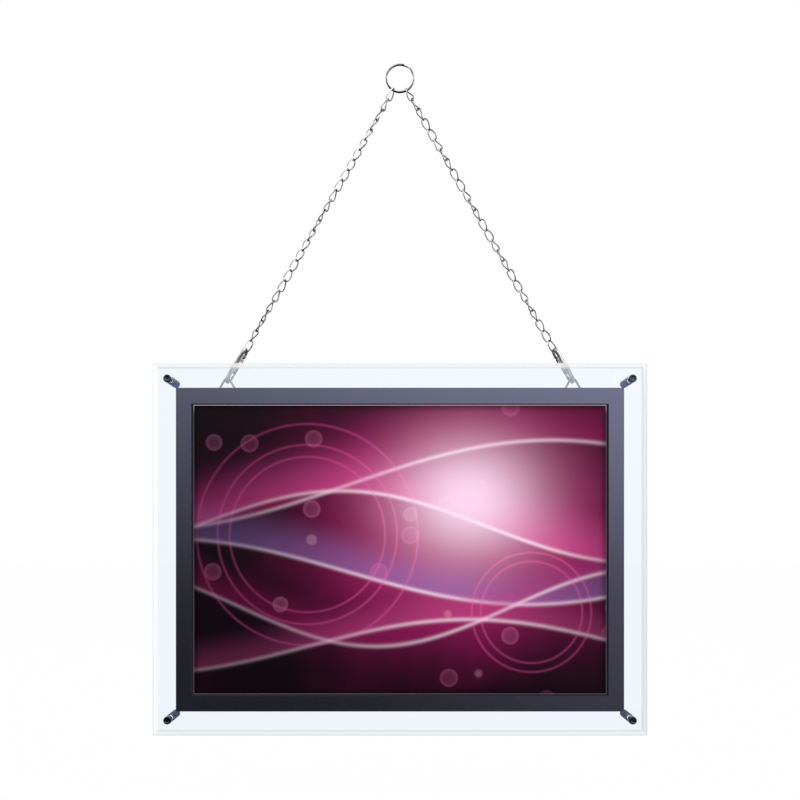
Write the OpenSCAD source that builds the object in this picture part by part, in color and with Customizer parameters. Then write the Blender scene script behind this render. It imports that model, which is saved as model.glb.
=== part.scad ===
// Edge-lit light box that hangs by a chain.
// Frame: +Z up, +X to the right, the lit face looks along -Y.
// The origin is the centre of the split ring that the box hangs from.

/* [Print] */
// Width of the printed sheet
print_w = 420; // [300:1:600]
// Height of the printed sheet
print_h = 297; // [210:1:420]
// Thickness of the printed sheet
print_t = 0.3; // [0.1:0.05:0.5]
// Strip of the print that the frame covers on each side
print_overlap = 5; // [3:0.5:6]
// Room round the print inside the rails
print_play = 1; // [0.5:0.1:2]

/* [Front frame] */
// Width of the frame's border
frame_border = 16.5; // [15:0.5:24]
// Thickness of the frame
frame_t = 4; // [3:0.5:7]
// Chamfer on the frame's front edges
frame_chamfer = 0.7; // [0.2:0.1:1.2]
// Diameter of a magnet
magnet_d = 6; // [4:0.5:7]
// Thickness of a magnet
magnet_t = 1.5; // [1:0.1:2]
// Magnets along each long side
magnets_long = 5; // [3:1:9]
// Magnets along each short side
magnets_short = 3; // [2:1:6]

/* [Light engine] */
// Step from the frame's outer edge back to the rails
rail_setback = 1; // [0:0.25:2]
// Thickness of the diffuser
diffuser_t = 1; // [0.5:0.1:2]
// Thickness of the light guide
guide_t = 4; // [3:0.5:8]
// Room at each side edge of the light guide for the wires
guide_side_room = 2; // [1.5:0.1:3]
// Thickness of the reflector
reflector_t = 0.3; // [0.1:0.05:0.6]
// Thickness of the back plate
back_t = 1.2; // [0.8:0.1:3]
// Thickness of a light strip's board
board_t = 1; // [0.6:0.1:1.6]
// Length of a light strip's lamp along the board
led_l = 3.5; // [2:0.1:5]
// Width of a lamp across the board
led_w = 2.8; // [1.5:0.1:2.9]
// Height of a lamp above the board
led_h = 1.4; // [0.7:0.1:2]
// Spacing of the lamps
led_pitch = 14; // [8:0.5:30]
// Air between the lamps and the light guide
led_air = 0.3; // [0.2:0.05:0.6]
// Width of a keeper strip
keeper_w = 6; // [4:0.5:7]
// Thickness of a keeper strip
keeper_t = 0.8; // [0.5:0.1:1.2]
// Length of each arm of a corner key
key_arm = 30; // [20:1:45]
// Width of a corner key's arm
key_w = 3; // [2:0.25:4]
// Thickness of a corner key
key_t = 1.5; // [1:0.1:2]
// Diameter of a wire inside the light engine
wire_d = 0.8; // [0.5:0.1:1]

/* [Clear sheet] */
// Clear margin outside the frame
sheet_margin = 27.5; // [25:0.5:45]
// Thickness of the clear sheet
sheet_t = 5; // [4:0.5:10]
// Width of the polished bevel
bevel_w = 5; // [2:0.25:6]
// Depth of the polished bevel
bevel_d = 2; // [1:0.25:3]

/* [Standoffs] */
// Distance from a standoff's axis to the sheet's edges
standoff_inset = 17; // [13:0.5:20]
// Diameter of caps and barrels
standoff_d = 8; // [7.5:0.25:12]
// Length of a cap's head
cap_l = 5; // [3:0.25:8]
// Diameter of a cap's stud
stud_d = 5; // [4:0.25:6]
// Length of stud screwed into the barrel
stud_grip = 7; // [4:0.5:8]
// Length of a barrel
barrel_l = 18; // [17:0.5:30]
// Diameter of the tapped hole in a barrel's wall end
wall_hole_d = 4.2; // [3:0.1:5]
// Depth of the tapped hole in a barrel's wall end
wall_hole_l = 8; // [5:0.5:9]
// Thickness of a standoff washer
washer_t = 0.5; // [0.3:0.1:1]

/* [Split ring] */
// Outer diameter of the split ring
ring_od = 30; // [26:0.5:40]
// Radial width of the ring's strip
ring_radial = 1.6; // [1.2:0.1:2.2]
// Width of the strip along the ring's axis
ring_strip = 1.1; // [0.8:0.05:1.2]
// Gap between the two turns
ring_gap = 0.45; // [0.42:0.01:0.5]
// Angle at which the front turn ends, clockwise from the top
ring_split = 20; // [0:5:60]

/* [Chain] */
// Links on each leg
link_count = 26; // [18:1:34]
// Pitch of the links
link_pitch = 11.85; // [11:0.05:14]
// Outer width of a link
link_w = 8.2; // [7.6:0.1:9]
// Diameter of the link wire
link_wire = 1.4; // [1:0.1:1.5]
// Twist of a link from end to end
link_twist = 90; // [80:1:100]
// Fullness of a link's outline, where 2 is an ellipse
link_power = 2.6; // [2.5:0.1:3.2]
// Play between neighbouring links along the leg
link_play = 0.35; // [0.3:0.05:0.6]
// Turn of the first left link, from facing the front
left_start = 63; // [50:1:75]
// Turn from each left link to the next
left_step = 18; // [0:1:25]
// Turn of the first right link, from facing the front
right_start = 30; // [20:1:45]
// Turn from each right link to the next
right_step = 36; // [20:1:40]

/* [Snap hooks] */
// Overall length of a snap hook
hook_l = 42; // [38:0.5:55]
// Overall width of a snap hook
hook_w = 14.8; // [13.5:0.1:15.5]
// Diameter of the snap hook's bar
hook_bar = 3.6; // [3:0.1:3.8]
// Turn of the snap hook about the leg, from edge-on
hook_turn = 0; // [0:1:20]
// Length of the nose that the gate closes on
nose_l = 5; // [3:0.5:7]
// Length of the shoulder that carries the gate
shoulder_l = 3; // [2:0.5:5]
// Diameter of the gate's pin
gate_pin_d = 1.2; // [1:0.1:1.4]
// Thickness of the tongue inside the gate
tongue_t = 1.4; // [1:0.1:1.6]

/* [Triangle rings] */
// Distance between the two triangle rings
hanger_span = 353; // [250:0.2:380]
// Wire diameter of a triangle ring
tri_wire = 2.2; // [1.8:0.1:2.6]
// Height from the base bar to the apex, at the wire's centre
tri_rise = 24; // [22:0.5:32]
// Straight length of the base bar
tri_base = 19; // [15:0.5:24]
// Bend radius of the corners, at the wire's centre
tri_bend = 3.5; // [3.3:0.1:4.5]

/* [Hang rail] */
// Length of the hang rail
hang_rail_l = 400; // [390:1:430]
// Height of the hang rail
hang_rail_h = 24; // [23:0.5:30]
// Thickness of the hang rail
hang_rail_t = 6; // [5:0.5:12]
// Distance from the frame's top edge down to the triangle rings' base bars
knuckle_drop = 10; // [8:0.5:14]
// Thickness of a bracket's strap
strap_t = 1.5; // [1:0.1:2]
// Width of a bracket's plate
bracket_w = 18; // [17:0.5:24]
// Height of a bracket's plate below the base bar
bracket_h = 12.5; // [12:0.5:13]
// Width of a bracket's rolled knuckle
knuckle_w = 13; // [8:0.5:14]

/* [Inlet] */
// Width of the inlet housing, without its ears
inlet_w = 24; // [20:0.5:32]
// Height of the inlet housing
inlet_h = 20; // [19:0.5:26]
// Depth of the inlet housing
inlet_d = 11; // [11:0.5:14]
// Wall of the inlet housing
inlet_wall = 1.5; // [1:0.1:2]
// Diameter of the power socket's body
jack_d = 7.6; // [7:0.1:8]
// Diameter of the power socket's opening
jack_bore = 5.6; // [5.5:0.1:6]
// Depth of the power socket's opening
jack_depth = 9; // [7:0.5:10]
// Diameter of the power socket's centre pin
jack_pin = 2.1; // [1.6:0.1:2.5]

/* [Screws] */
// Diameter of the screws
screw_d = 3; // [2.5:0.1:3.2]
// Diameter of a screw's head
screw_head_d = 5; // [4.5:0.1:5.5]
// Height of a screw's head
screw_head_h = 2; // [1.2:0.1:2]
// Length of thread in a rail
screw_grip = 4; // [2:0.5:4]
// Distance of the inner pair of screws from the middle
screw_near = 60; // [40:1:80]
// Distance of the outer pair of screws from the middle
screw_far = 135; // [110:1:145]

/* [Fits] */
// Gap where two hanging pieces bear on each other
bearing_gap = 0.2; // [0.15:0.05:0.4]
// Gap between the first links and the split ring
ring_bearing_gap = 0.5; // [0.45:0.05:0.6]
// Radial clearance of a pin that turns in its hole
pin_gap = 0.05; // [0.03:0.01:0.08]
// Radial clearance of a thread or a pressed piece
thread_gap = 0.02; // [0.01:0.01:0.05]
// Radial clearance of a screw that passes through
pass_gap = 0.2; // [0.1:0.05:0.3]
// Play between flat pieces that slide past each other
flat_gap = 0.2; // [0.1:0.05:0.3]

/* [Hidden] */
$fn = 48;

// Small overlap that makes a cut run past a face
cut = 0.5;
// Long enough for any cut through the light box
through = 60;

// Sizes that follow from the print
window_w = print_w - 2 * print_overlap;
window_h = print_h - 2 * print_overlap;
frame_w = window_w + 2 * frame_border;
frame_h = window_h + 2 * frame_border;
cavity_w = print_w + 2 * print_play;
cavity_h = print_h + 2 * print_play;
rails_w = frame_w - 2 * rail_setback;
rails_h = frame_h - 2 * rail_setback;
rail_bar = (rails_w - cavity_w) / 2;
rail_line_x = (rails_w + cavity_w) / 4;
rail_line_z = (rails_h + cavity_h) / 4;
sheet_w = frame_w + 2 * sheet_margin;
sheet_h = frame_h + 2 * sheet_margin;
guide_w = cavity_w - 2 * guide_side_room;
guide_h = cavity_h - 2 * (board_t + led_h + led_air);

// One leg, measured down its line from the ring's centre
ring_inner = ring_od / 2 - ring_radial;
link_long = link_pitch + link_wire + link_play;
first_bend = ring_inner - ring_bearing_gap - link_wire / 2;
last_bend = first_bend + (link_count - 1) * link_pitch + link_long;
hook_top = last_bend - (link_wire + hook_bar) / 2 - bearing_gap;
hook_bottom = hook_top + hook_l - hook_bar;
apex_rise = (hook_bar + tri_wire) / 2 + bearing_gap;
leg_angle = asin(hanger_span / 2 / hook_bottom);

// Heights in the frame of the whole part
knuckle_z = apex_rise - hook_bottom * cos(leg_angle) - tri_rise;
panel_z = knuckle_z + knuckle_drop - frame_h / 2;
hang_rail_top = frame_h / 2;
hang_rail_mid = hang_rail_top - hang_rail_h / 2;

// Depths, from the back to the front
knuckle_r = tri_wire / 2 + pin_gap + strap_t;
bracket_y = -knuckle_r;
hang_rail_y = bracket_y - hang_rail_t;
sheet_back = hang_rail_y;
sheet_front = sheet_back - sheet_t;
back_front = sheet_front - back_t;
reflector_front = back_front - reflector_t;
guide_front = reflector_front - guide_t;
diffuser_front = guide_front - diffuser_t;
print_front = diffuser_front - print_t;
frame_back = print_front - flat_gap;
frame_front = frame_back - frame_t;
rail_depth = back_front - frame_back;

// Standoffs
standoff_x = sheet_w / 2 - standoff_inset;
standoff_z = sheet_h / 2 - standoff_inset;
cap_seat = sheet_front - washer_t;
barrel_front = sheet_back + washer_t;
barrel_back = barrel_front + barrel_l;
cap_dish = standoff_d / 2 - 1.3;
cap_dish_depth = 0.5;
cap_edge = 0.6;

// Light strips
board_w = reflector_t + guide_t - flat_gap;
board_l = cavity_w - 2 * flat_gap;
board_mid = back_front - board_w / 2;
led_count = floor((guide_w - 2 * led_pitch) / led_pitch);

// Snap hook, centred on its own middle
bar_r = hook_bar / 2;
hook_arc = (hook_w - hook_bar) / 2;
hook_side = hook_l - hook_bar - 2 * hook_arc;
nose_top = -hook_side / 2 + nose_l;
shoulder_end = hook_side / 2 - shoulder_l;
gate_pin_z = shoulder_end - bar_r - bearing_gap;
gate_foot = nose_top + bearing_gap;
tongue_r = bar_r - 0.3;
gate_slot_floor = gate_pin_z - bar_r - bearing_gap;
hook_middle = (hook_top + hook_bottom) / 2;

// Triangle ring
tri_half = tri_base / 2;
tri_slope = tri_rise - 2 * tri_bend;
tri_normal = atan2(tri_half, tri_slope);

// Inlet
inlet_top = -cavity_h / 2 + board_t + inlet_wall + jack_d / 2 + 2;
inlet_mid = inlet_top - inlet_h / 2;
inlet_ear = screw_head_d + 2;
inlet_ear_t = 2.5;
jack_y = sheet_back + inlet_d - inlet_wall - jack_d / 2 - flat_gap;
jack_l = inlet_h - inlet_wall - flat_gap;
wire_z = -cavity_h / 2 + board_t / 2;
wire_space = 4;
wire_hole_d = wire_space + wire_d + 2;

// Screw seats along the long and short rails
long_seats = [-screw_far, -screw_near, screw_near, screw_far];
short_seats = [-screw_near, screw_near];
bracket_screw_x = (knuckle_w - screw_head_d) / 2;
bracket_screw_z = knuckle_drop + knuckle_r + screw_head_d / 2 + flat_gap;
hang_screw_l = hang_rail_t + sheet_t + back_t + screw_grip;
sheet_screw_l = sheet_t + back_t + screw_grip;

// Helpers

// Places children with the panel's centre as their origin
module at_panel() {
    translate([0, 0, panel_z]) children();
}

// Turns children into a leg's line: -Z runs down the leg
module on_leg(side) {
    rotate([0, -side * leg_angle, 0]) children();
}

// A flat plate between two depths
module plate(w, h, front, back) {
    translate([-w / 2, front, -h / 2]) cube([w, back - front, h]);
}

// A round bar along +Y
module bar_y(d, front, back) {
    translate([0, front, 0]) rotate([-90, 0, 0]) cylinder(d = d, h = back - front);
}

// A plate whose front edges are bevelled all round
module bevelled_plate(w, h, front, back, wide, deep) {
    intersection() {
        translate([0, 0, -h]) linear_extrude(2 * h) polygon([
            [-w / 2, back], [-w / 2, front + deep], [-w / 2 + wide, front],
            [w / 2 - wide, front], [w / 2, front + deep], [w / 2, back]
        ]);
        rotate([90, 0, 90]) translate([0, 0, -w]) linear_extrude(2 * w) polygon([
            [back, -h / 2], [front + deep, -h / 2], [front, -h / 2 + wide],
            [front, h / 2 - wide], [front + deep, h / 2], [back, h / 2]
        ]);
    }
}

// A cutter that opens a window whose front edges flare outwards
module flared_window(w, h, front, back, wide) {
    plate(w, h, front - cut, back + cut);
    intersection() {
        translate([0, 0, -h]) linear_extrude(2 * h) polygon([
            [-w / 2, front + wide], [-w / 2 - wide - cut, front - cut],
            [w / 2 + wide + cut, front - cut], [w / 2, front + wide]
        ]);
        rotate([90, 0, 90]) translate([0, 0, -w]) linear_extrude(2 * w) polygon([
            [front + wide, -h / 2], [front - cut, -h / 2 - wide - cut],
            [front - cut, h / 2 + wide + cut], [front + wide, h / 2]
        ]);
    }
}

// The four standoff places
module at_standoffs() {
    for (x = [-standoff_x, standoff_x], z = [-standoff_z, standoff_z]) translate([x, 0, z]) children();
}

// Screw places along the top rail, which the hang rail's screws reach
module at_hang_screws() {
    for (x = long_seats) translate([x, 0, rail_line_z]) children();
}

// Screw places along the other three rails
module at_sheet_screws() {
    for (x = long_seats) translate([x, 0, -rail_line_z]) children();
    for (x = [-rail_line_x, rail_line_x], z = short_seats) translate([x, 0, z]) children();
}

// Screw places of both brackets
module at_bracket_screws() {
    for (side = [-1, 1], x = [-bracket_screw_x, bracket_screw_x]) {
        translate([side * hanger_span / 2 + x, 0, frame_h / 2 - bracket_screw_z]) children();
    }
}

// Screw places of the inlet's ears
module at_inlet_screws() {
    for (side = [-1, 1]) translate([side * (inlet_w + inlet_ear) / 2, 0, inlet_mid]) children();
}

// Pan-head screw whose head seats on a depth and whose shank runs to the front
module screw_y(seat, length) {
    bar_y(screw_d, seat - length, seat);
    rotate([-90, 0, 0]) translate([0, 0, seat]) rotate_extrude() polygon([
        [0, -cut], [screw_d / 2, -cut], [screw_d / 2, 0], [screw_head_d / 2, 0],
        [screw_head_d / 2, screw_head_h * 0.6], [screw_head_d / 2 - screw_head_h * 0.4, screw_head_h],
        [screw_head_h * 0.5, screw_head_h], [screw_head_h * 0.5, screw_head_h * 0.45], [0, screw_head_h * 0.45]
    ]);
}

// Clearance hole and thread hole for a screw
module pass_hole() {
    bar_y(screw_d + 2 * pass_gap, -through, through);
}

module thread_hole(seat, length) {
    bar_y(screw_d + 2 * thread_gap, seat - length - flat_gap, seat + cut);
}

// Tube through a closed or open row of rings, each ring a list of points
function ring_quads(i, j, sides) = [
    for (k = [0 : sides - 1])
        let (n = (k + 1) % sides)
            each [[i * sides + k, i * sides + n, j * sides + n], [i * sides + k, j * sides + n, j * sides + k]]
];

function cap_fan(start, sides, flip) = [
    for (k = [1 : sides - 2]) flip ? [start, start + k, start + k + 1] : [start, start + k + 1, start + k]
];

// Split ring

ring_steps = 24;
ring_cross = 24;
ring_turn = ring_strip + ring_gap;
ring_mid = (ring_od - ring_radial) / 2;
ring_corner = ring_strip * 0.28;
// The strip runs a turn at the back, crosses, and runs a turn at the front
ring_sweep = 720 - ring_cross - 6;
ring_rings = 2 * ring_steps - 1;

// Depth of the strip's middle after it has run through an angle
function ring_shift(a) =
    let (start = 360 - ring_cross, t = min(1, max(0, (a - start) / ring_cross)))
        ring_turn * (0.5 - t * t * (3 - 2 * t));

function ring_angle(i) = i * ring_sweep / (ring_rings - 1);

// Outline of the strip: radial, axial
ring_outline = [
    [-ring_radial / 2, 0],
    [-ring_radial / 2 + ring_corner, -ring_strip / 2],
    [ring_radial / 2 - ring_corner, -ring_strip / 2],
    [ring_radial / 2, 0],
    [ring_radial / 2 - ring_corner, ring_strip / 2],
    [-ring_radial / 2 + ring_corner, ring_strip / 2]
];
ring_sides = len(ring_outline);

// The strip ends at the split, measured clockwise from the top
function ring_point(a, p) =
    let (turn = 90 - ring_split + ring_sweep - 720 - a, r = ring_mid + p[0])
        [r * cos(turn), ring_shift(a) + p[1], r * sin(turn)];

ring_points = [for (i = [0 : ring_rings - 1]) each [for (p = ring_outline) ring_point(ring_angle(i), p)]];
ring_faces = concat(
    [for (i = [0 : ring_rings - 2]) each ring_quads(i, i + 1, ring_sides)],
    cap_fan(0, ring_sides, true),
    cap_fan((ring_rings - 1) * ring_sides, ring_sides, false)
);

// Least gap between the two turns, measured on points a half turn or more apart
ring_line = [for (i = [0 : ring_rings - 1]) ring_point(ring_angle(i), [0, 0])];
ring_self_gap = min([
    for (i = [0 : ring_rings - 1], j = [0 : ring_rings - 1])
        if (ring_angle(j) - ring_angle(i) > 180) norm(ring_line[j] - ring_line[i]) - ring_strip
]);
echo(split_ring_least_gap_mm = ring_self_gap);

module split_ring() {
    color("#8a8c90") polyhedron(points = ring_points, faces = ring_faces, convexity = 8);
}

// Chain

link_rings = 14;
link_sides = 6;
link_half = link_long / 2;
link_reach = (link_w - link_wire) / 2;

// Raises a sine or a cosine to the power that fills out the link's outline
function fuller(v) = sign(v) * pow(abs(v), 2 / link_power);

// Middle line of a link about its own centre, twisted along its length
function link_spine(t, twist) =
    let (along = fuller(cos(t)), out = link_reach * fuller(sin(t)), a = twist / 2 * along)
        [out * cos(a), out * sin(a), link_half * along];

function unit(v) = v / norm(v);

function link_frame(t, twist) =
    let (
        here = link_spine(t, twist),
        ahead = unit(link_spine(t + 2, twist) - link_spine(t - 2, twist)),
        a = twist / 2 * fuller(cos(t)),
        side = unit(cross(ahead, [-sin(a), cos(a), 0])),
        up = cross(side, ahead)
    )
        [here, side, up];

function link_ring(t, twist) =
    let (f = link_frame(t, twist))
        [for (k = [0 : link_sides - 1])
            f[0] + link_wire / 2 * (cos(360 * k / link_sides) * f[1] + sin(360 * k / link_sides) * f[2])];

function link_faces() = [for (i = [0 : link_rings - 1]) each ring_quads(i, (i + 1) % link_rings, link_sides)];

module chain_link(twist) {
    polyhedron(
        points = [for (i = [0 : link_rings - 1]) each link_ring(360 * i / link_rings, twist)],
        faces = link_faces(),
        convexity = 6
    );
}

// Turn of a link's upper and lower ends; the end links sit square on the ring and on the hook
function upper_turn(k, start, step) =
    k == 0 ? 90
    : k == link_count - 1 ? lower_turn(0, k - 1, start, step) + 90
    : start + step * k + link_twist / 2;

function lower_turn(side, k, start, step) =
    k == link_count - 1
    ? let (square = side * hook_turn)
        square + 180 * round((upper_turn(k, start, step) - square) / 180)
    : start + step * k - link_twist / 2;

module chain(side, start, step) {
    on_leg(side) for (k = [0 : link_count - 1]) {
        upper = upper_turn(k, start, step);
        lower = lower_turn(side, k, start, step);
        translate([0, 0, -first_bend - k * link_pitch - link_half])
            rotate([0, 0, (upper + lower) / 2]) chain_link(upper - lower);
    }
}

module chain_left() {
    color("#77787c") chain(-1, left_start, left_step);
}

module chain_right() {
    color("#77787c") chain(1, right_start, right_step);
}

// Snap hooks

module hook_place(side) {
    on_leg(side) translate([0, 0, -hook_middle]) rotate([0, 0, side * hook_turn]) children();
}

// Half of a round bar bent to a half circle, opening towards -Z
module hook_bend() {
    rotate([90, 0, 90]) rotate_extrude(angle = 180) translate([hook_arc, 0]) circle(r = bar_r);
}

module gate_bore(radius) {
    translate([-bar_r - cut, hook_arc, gate_pin_z]) rotate([0, 90, 0])
        cylinder(r = radius, h = hook_bar + 2 * cut);
}

module hook_body() {
    translate([0, 0, hook_side / 2]) hook_bend();
    translate([0, 0, -hook_side / 2]) mirror([0, 0, 1]) hook_bend();
    translate([0, -hook_arc, -hook_side / 2]) cylinder(r = bar_r, h = hook_side);
    translate([0, hook_arc, -hook_side / 2]) cylinder(r = bar_r, h = nose_l);
    translate([0, hook_arc, shoulder_end]) cylinder(r = bar_r, h = shoulder_l);
    difference() {
        union() {
            translate([-tongue_t / 2, hook_arc, gate_pin_z]) rotate([0, 90, 0])
                cylinder(r = tongue_r, h = tongue_t);
            translate([-tongue_t / 2, hook_arc - tongue_r, gate_pin_z])
                cube([tongue_t, 2 * tongue_r, shoulder_end - gate_pin_z]);
        }
        gate_bore(gate_pin_d / 2 + pin_gap);
    }
}

module hook_left() {
    color("#6f7074") hook_place(-1) hook_body();
}

module hook_right() {
    color("#6f7074") hook_place(1) hook_body();
}

// Round bar with a ball end round the pin, slotted for the tongue
module gate_body() {
    difference() {
        translate([0, hook_arc, 0]) rotate_extrude() union() {
            translate([0, gate_foot]) square([bar_r, gate_pin_z - gate_foot]);
            intersection() {
                translate([0, gate_pin_z]) circle(r = bar_r);
                translate([0, gate_pin_z]) square([bar_r, bar_r]);
            }
        }
        translate([-tongue_t / 2 - flat_gap, hook_arc - bar_r - cut, gate_slot_floor])
            cube([tongue_t + 2 * flat_gap, hook_bar + 2 * cut, through]);
        gate_bore(gate_pin_d / 2 + thread_gap);
    }
}

module gate_left() {
    color("#7b7c80") hook_place(-1) gate_body();
}

module gate_right() {
    color("#7b7c80") hook_place(1) gate_body();
}

module gate_pin() {
    pin_l = hook_bar - 0.4;
    translate([-pin_l / 2, hook_arc, gate_pin_z]) rotate([0, 90, 0]) cylinder(d = gate_pin_d, h = pin_l);
}

module gate_pin_left() {
    color("#909296") hook_place(-1) gate_pin();
}

module gate_pin_right() {
    color("#909296") hook_place(1) gate_pin();
}

// Triangle rings

tri_steps = 8;
tri_facets = 12;
// Each bend: its centre, and the angles where it starts and ends
tri_arcs = [
    [[tri_half, tri_bend], -90, tri_normal],
    [[0, tri_rise - tri_bend], tri_normal, 180 - tri_normal],
    [[-tri_half, tri_bend], 180 - tri_normal, 270]
];

// One section of the wire at an angle round a bend
function tri_section(middle, a) = [
    for (k = [0 : tri_facets - 1])
        let (turn = 360 * k / tri_facets, r = tri_bend + tri_wire / 2 * cos(turn))
            [middle[0] + r * cos(a), tri_wire / 2 * sin(turn), middle[1] + r * sin(a)]
];

tri_points = [
    for (arc = tri_arcs, i = [0 : tri_steps])
        each tri_section(arc[0], arc[1] + (arc[2] - arc[1]) * i / tri_steps)
];
tri_rings = len(tri_points) / tri_facets;
tri_faces = [for (i = [0 : tri_rings - 1]) each ring_quads((i + 1) % tri_rings, i, tri_facets)];

module triangle(side) {
    translate([side * hanger_span / 2, 0, knuckle_z])
        polyhedron(points = tri_points, faces = tri_faces, convexity = 6);
}

module triangle_left() {
    color("#8b8d92") triangle(-1);
}

module triangle_right() {
    color("#8b8d92") triangle(1);
}

// Hang rail and brackets

module bracket(side) {
    top = frame_h / 2 - knuckle_drop;
    at_panel() difference() {
        translate([side * hanger_span / 2, 0, top]) union() {
            translate([-knuckle_w / 2, 0, 0]) rotate([0, 90, 0]) cylinder(r = knuckle_r, h = knuckle_w);
            translate([-knuckle_w / 2, bracket_y, -knuckle_r - flat_gap])
                cube([knuckle_w, strap_t, knuckle_r + flat_gap]);
            translate([-bracket_w / 2, bracket_y, -bracket_h])
                cube([bracket_w, strap_t, bracket_h - knuckle_r - flat_gap]);
        }
        translate([side * hanger_span / 2 - bracket_w, 0, top]) rotate([0, 90, 0])
            cylinder(d = tri_wire + 2 * pin_gap, h = 2 * bracket_w);
        at_bracket_screws() pass_hole();
    }
}

module bracket_left() {
    color("#9b9da2") bracket(-1);
}

module bracket_right() {
    color("#9b9da2") bracket(1);
}

module bracket_screws() {
    color("#b0b2b6") at_panel() at_bracket_screws() screw_y(bracket_y + strap_t, strap_t + screw_grip);
}

module hang_rail() {
    color("#a8abb0") at_panel() difference() {
        translate([0, 0, hang_rail_mid]) plate(hang_rail_l, hang_rail_h, hang_rail_y, bracket_y);
        at_hang_screws() pass_hole();
        at_bracket_screws() thread_hole(bracket_y, screw_grip);
    }
}

module rail_screws() {
    color("#b0b2b6") at_panel() at_hang_screws() screw_y(bracket_y, hang_screw_l);
}

module sheet_screws() {
    color("#b0b2b6") at_panel() at_sheet_screws() screw_y(sheet_back, sheet_screw_l);
}

// Clear sheet

module wire_hole() {
    translate([0, 0, wire_z]) bar_y(wire_hole_d, -through, through);
}

module clear_sheet() {
    color("#dceaf5", 0.4) at_panel() difference() {
        bevelled_plate(sheet_w, sheet_h, sheet_front, sheet_back, bevel_w, bevel_d);
        at_standoffs() bar_y(stud_d + 2 * pass_gap, -through, through);
        at_hang_screws() pass_hole();
        at_sheet_screws() pass_hole();
        at_inlet_screws() thread_hole(sheet_back, sheet_t + cut);
        wire_hole();
    }
}

// Standoffs

// Turned cap with a dished face, a broken edge and its stud
module cap(side_x, side_z) {
    r = standoff_d / 2;
    tip = barrel_front + stud_grip;
    color("#25262b") at_panel() translate([side_x * standoff_x, 0, side_z * standoff_z])
        rotate([-90, 0, 0]) rotate_extrude() polygon([
            [0, cap_seat - cap_l + cap_dish_depth], [cap_dish - cap_dish_depth, cap_seat - cap_l + cap_dish_depth],
            [cap_dish, cap_seat - cap_l], [r - cap_edge, cap_seat - cap_l], [r, cap_seat - cap_l + cap_edge],
            [r, cap_seat], [stud_d / 2, cap_seat], [stud_d / 2, tip], [0, tip]
        ]);
}

module cap_top_left() {
    cap(-1, 1);
}

module cap_top_right() {
    cap(1, 1);
}

module cap_bottom_left() {
    cap(-1, -1);
}

module cap_bottom_right() {
    cap(1, -1);
}

module standoff_barrels() {
    color("#5d636c") at_panel() at_standoffs() difference() {
        bar_y(standoff_d, barrel_front, barrel_back);
        bar_y(stud_d + 2 * pin_gap, barrel_front - cut, barrel_front + stud_grip + flat_gap);
        bar_y(wall_hole_d, barrel_back - wall_hole_l, barrel_back + cut);
    }
}

module standoff_washers() {
    color("#e6eaee") at_panel() at_standoffs() difference() {
        union() {
            bar_y(standoff_d, cap_seat, sheet_front);
            bar_y(standoff_d, sheet_back, barrel_front);
        }
        bar_y(stud_d + 2 * pass_gap, -through, through);
    }
}

// Front frame

// Centres of the magnets, spread evenly along the rails' middle lines
module at_magnets() {
    for (i = [0 : magnets_long - 1], s = [-1, 1])
        translate([cavity_w * ((i + 0.5) / magnets_long - 0.5), 0, s * rail_line_z]) children();
    for (i = [0 : magnets_short - 1], s = [-1, 1])
        translate([s * rail_line_x, 0, cavity_h * ((i + 0.5) / magnets_short - 0.5)]) children();
}

module border_frame() {
    color("#3c3c48") at_panel() difference() {
        bevelled_plate(frame_w, frame_h, frame_front, frame_back, frame_chamfer, frame_chamfer);
        flared_window(window_w, window_h, frame_front, frame_back, frame_chamfer);
        at_magnets() bar_y(magnet_d + 2 * thread_gap, frame_back - magnet_t, frame_back + cut);
    }
}

module frame_magnets() {
    color("#a0a2a6") at_panel() at_magnets() bar_y(magnet_d, frame_back - magnet_t, frame_back);
}

module print() {
    color("#b3246c") at_panel() plate(print_w, print_h, print_front, diffuser_front);
}

// Light engine

// Grooves of the keeper strips, two long and two short
module keepers(grow, proud) {
    for (s = [-1, 1]) {
        translate([0, 0, s * rail_line_z])
            plate(cavity_w - 2 * grow, keeper_w + 2 * grow, frame_back - proud, frame_back + keeper_t);
        translate([s * rail_line_x, 0, 0])
            plate(keeper_w + 2 * grow, cavity_h - 2 * grow, frame_back - proud, frame_back + keeper_t);
    }
}

// Angle keys at the corners, let into the rails' backs
module keys(grow, proud) {
    for (sx = [-1, 1], sz = [-1, 1]) translate([sx * rail_line_x, 0, sz * rail_line_z]) {
        translate([-sx * (key_arm - key_w) / 2, 0, 0])
            plate(key_arm + 2 * grow, key_w + 2 * grow, back_front - key_t, back_front + proud);
        translate([0, 0, -sz * (key_arm - key_w) / 2])
            plate(key_w + 2 * grow, key_arm + 2 * grow, back_front - key_t, back_front + proud);
    }
}

module rail_cuts() {
    keepers(thread_gap, cut);
    keys(thread_gap, cut);
    at_hang_screws() thread_hole(back_front, screw_grip);
    at_sheet_screws() thread_hole(back_front, screw_grip);
}

module long_rail(side) {
    color("#b9bcc1") at_panel() difference() {
        translate([0, 0, side * rail_line_z]) plate(cavity_w, rail_bar, frame_back, back_front);
        rail_cuts();
    }
}

module short_rail(side) {
    color("#b9bcc1") at_panel() difference() {
        translate([side * rail_line_x, 0, 0]) plate(rail_bar, rails_h, frame_back, back_front);
        rail_cuts();
    }
}

module top_rail() {
    long_rail(1);
}

module bottom_rail() {
    long_rail(-1);
}

module left_rail() {
    short_rail(-1);
}

module right_rail() {
    short_rail(1);
}

module corner_keys() {
    color("#85878b") at_panel() keys(0, 0);
}

module keeper_strips() {
    color("#75777b") at_panel() keepers(-thread_gap, 0);
}

module back_plate() {
    color("#c9ccd0") at_panel() difference() {
        plate(rails_w, rails_h, back_front, sheet_front);
        at_hang_screws() pass_hole();
        at_sheet_screws() pass_hole();
        wire_hole();
    }
}

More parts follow.
